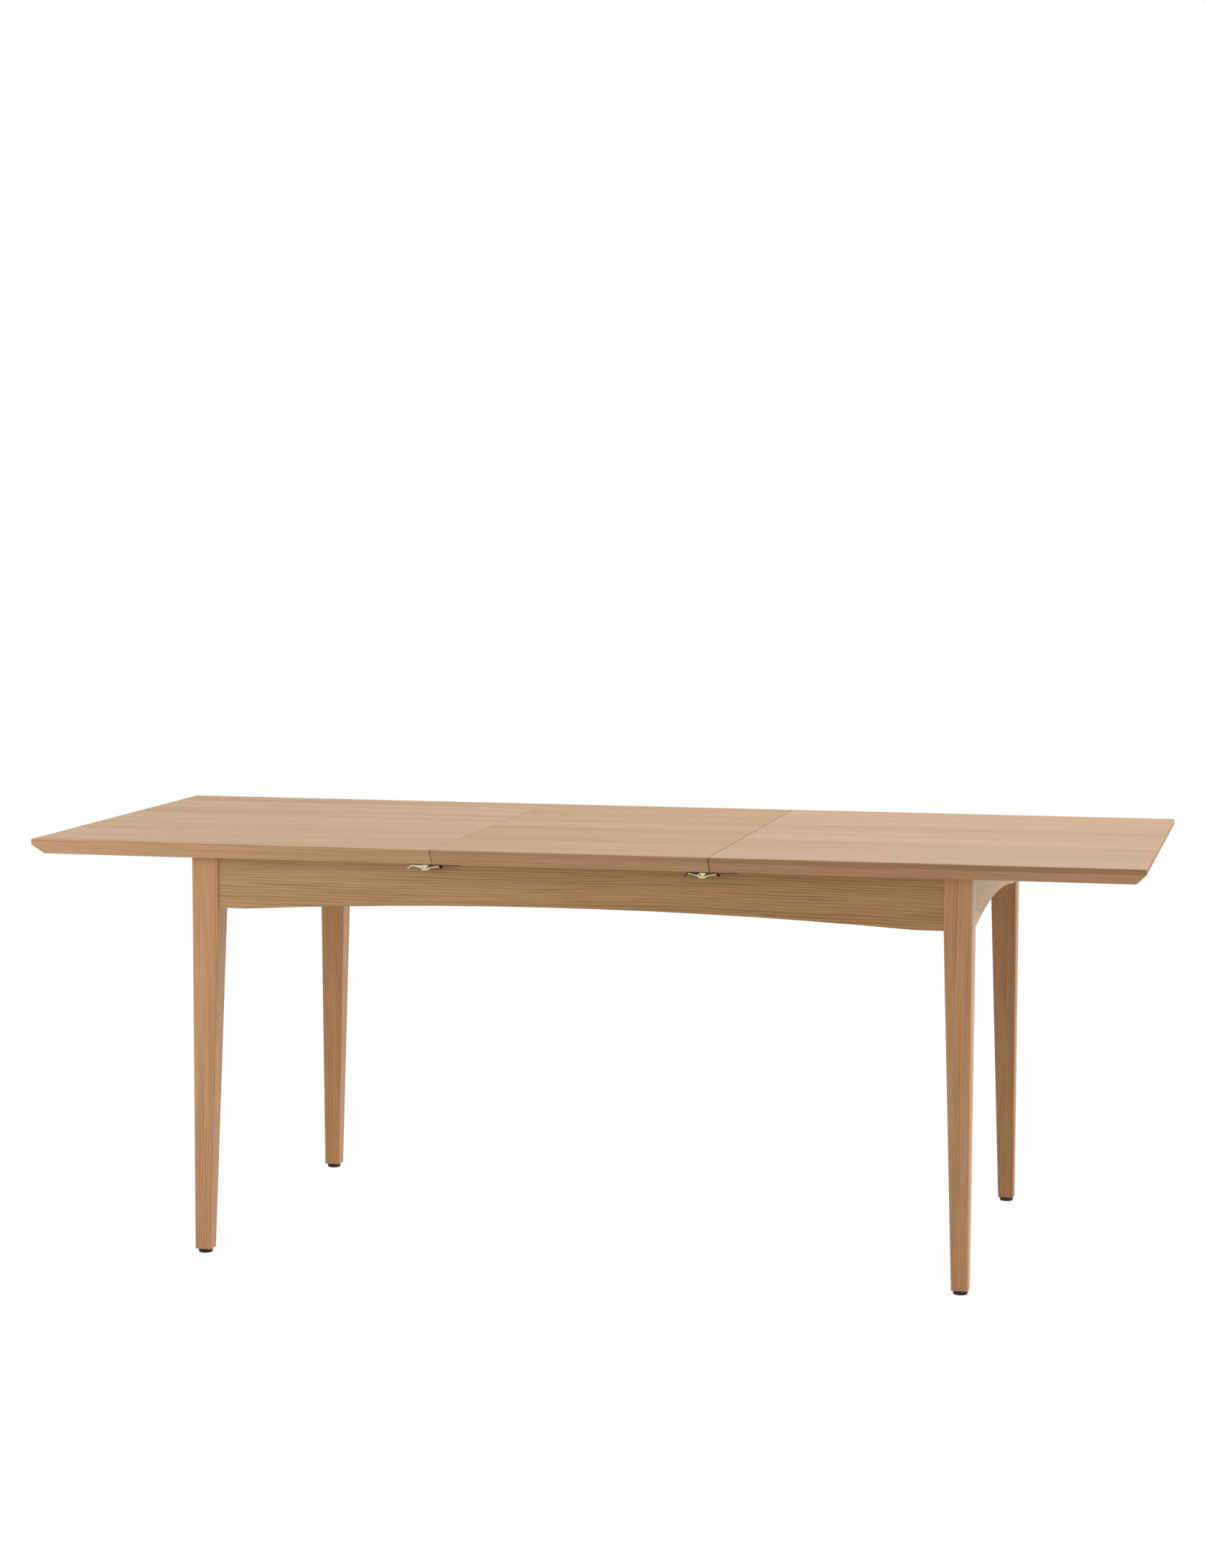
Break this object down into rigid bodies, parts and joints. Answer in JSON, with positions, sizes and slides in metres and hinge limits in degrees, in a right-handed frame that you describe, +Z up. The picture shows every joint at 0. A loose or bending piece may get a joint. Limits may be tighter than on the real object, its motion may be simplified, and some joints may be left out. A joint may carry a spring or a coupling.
{
  "type": "extending dining table",
  "caption": "Oak dining table with sliding end tops, a folding extension leaf between them, tapered legs, arched aprons and lever latches under the edges.",
  "frame": {"origin": "on the floor under the middle of the extended table", "axes": "+X along the table towards the right end, -Y towards the front edge, +Z up"},
  "size_m": [2, 0.88, 0.755],
  "materials": {
    "oak_top": "oiled oak, grain along the table",
    "oak_frame": "oiled oak, grain along each piece",
    "inner_beech": "plain hardwood, waxed",
    "latch_brass": "satin",
    "fastener_steel": "zinc plated",
    "foot_plastic": "matt black",
    "pad_felt": "felt",
    "bumper_rubber": "matt"
  },
  "bodies": {
    "base": {"apron_back": "oak_frame", "apron_front": "oak_frame", "apron_left": "oak_frame", "apron_right": "oak_frame", "brace_back_left": "inner_beech", "brace_back_right": "inner_beech", "brace_front_left": "inner_beech", "brace_front_right": "inner_beech", "cross_rail_left": "inner_beech", "cross_rail_right": "inner_beech", "fixed_rail_back": "inner_beech", "fixed_rail_front": "inner_beech", "foot_back_left": "foot_plastic", "foot_back_right": "foot_plastic", "foot_front_left": "foot_plastic", "foot_front_right": "foot_plastic", "foot_nails": "fastener_steel", "frame_screws": "fastener_steel", "hanger_bolts": "fastener_steel", "hanger_nuts": "fastener_steel", "hinge_barrels_front": "fastener_steel", "latch_keeper_front_left": "latch_brass", "latch_plate_front_right": "latch_brass", "leaf_front": "oak_top", "leaf_front_screws": "fastener_steel", "leaf_pads": "pad_felt", "leaf_pins": "latch_brass", "leg_back_left": "oak_frame", "leg_back_right": "oak_frame", "leg_front_left": "oak_frame", "leg_front_right": "oak_frame", "runner_bumpers": "bumper_rubber", "storage_bearer_left": "inner_beech", "storage_bearer_right": "inner_beech"},
    "left_top": {"left_top": "oak_top", "left_top_screws": "fastener_steel", "left_runner_front": "inner_beech", "left_runner_back": "inner_beech", "latch_plate_front_left": "latch_brass", "latch_plate_back_left": "latch_brass"},
    "right_top": {"right_top": "oak_top", "right_top_screws": "fastener_steel", "right_runner_front": "inner_beech", "right_runner_back": "inner_beech", "latch_keeper_front_right": "latch_brass", "latch_plate_back_right": "latch_brass"},
    "leaf_back": {"leaf_back": "oak_top", "leaf_back_screws": "fastener_steel", "hinge_barrels_back": "fastener_steel", "latch_keeper_back_left": "latch_brass", "latch_keeper_back_right": "latch_brass"},
    "lever_front_left": {"latch_lever_front_left": "latch_brass"},
    "tongue_front_left": {"latch_tongue_front_left": "latch_brass"},
    "lever_front_right": {"latch_lever_front_right": "latch_brass"},
    "tongue_front_right": {"latch_tongue_front_right": "latch_brass"},
    "lever_back_left": {"latch_lever_back_left": "latch_brass"},
    "tongue_back_left": {"latch_tongue_back_left": "latch_brass"},
    "lever_back_right": {"latch_lever_back_right": "latch_brass"},
    "tongue_back_right": {"latch_tongue_back_right": "latch_brass"}
  },
  "joints": [
    {"name": "left_top_slide", "type": "slide", "parent": "base", "child": "left_top", "axis": [-1, 0, 0], "range_m": [0, 0.04]},
    {"name": "right_top_slide", "type": "slide", "parent": "base", "child": "right_top", "axis": [1, 0, 0], "range_m": [0, 0.04]},
    {"name": "leaf_fold", "type": "hinge", "parent": "base", "child": "leaf_back", "pos_m": [0, 0, 0.7553], "axis": [1, 0, 0], "range_deg": [0, 180]},
    {"name": "lever_front_left_pivot", "type": "hinge", "parent": "left_top", "child": "lever_front_left", "pos_m": [-0.264, -0.412, 0.7205], "axis": [0, -1, 0], "range_deg": [0, 100]},
    {"name": "tongue_front_left_pivot", "type": "hinge", "parent": "lever_front_left", "child": "tongue_front_left", "pos_m": [-0.272, -0.412, 0.7216], "axis": [0, -1, 0], "range_deg": [-100, 0]},
    {"name": "lever_front_right_pivot", "type": "hinge", "parent": "base", "child": "lever_front_right", "pos_m": [0.236, -0.412, 0.7205], "axis": [0, -1, 0], "range_deg": [0, 100]},
    {"name": "tongue_front_right_pivot", "type": "hinge", "parent": "lever_front_right", "child": "tongue_front_right", "pos_m": [0.228, -0.412, 0.7216], "axis": [0, -1, 0], "range_deg": [-100, 0]},
    {"name": "lever_back_left_pivot", "type": "hinge", "parent": "left_top", "child": "lever_back_left", "pos_m": [-0.264, 0.412, 0.7205], "axis": [0, -1, 0], "range_deg": [0, 100]},
    {"name": "tongue_back_left_pivot", "type": "hinge", "parent": "lever_back_left", "child": "tongue_back_left", "pos_m": [-0.272, 0.412, 0.7216], "axis": [0, -1, 0], "range_deg": [-100, 0]},
    {"name": "lever_back_right_pivot", "type": "hinge", "parent": "right_top", "child": "lever_back_right", "pos_m": [0.264, 0.412, 0.7205], "axis": [0, 1, 0], "range_deg": [0, 100]},
    {"name": "tongue_back_right_pivot", "type": "hinge", "parent": "lever_back_right", "child": "tongue_back_right", "pos_m": [0.272, 0.412, 0.7216], "axis": [0, 1, 0], "range_deg": [-100, 0]}
  ],
  "couplings": [
    {"joint": "tongue_front_left_pivot", "follows": "lever_front_left_pivot", "ratio": -1},
    {"joint": "tongue_front_right_pivot", "follows": "lever_front_right_pivot", "ratio": -1},
    {"joint": "tongue_back_left_pivot", "follows": "lever_back_left_pivot", "ratio": -1},
    {"joint": "tongue_back_right_pivot", "follows": "lever_back_right_pivot", "ratio": -1}
  ]
}
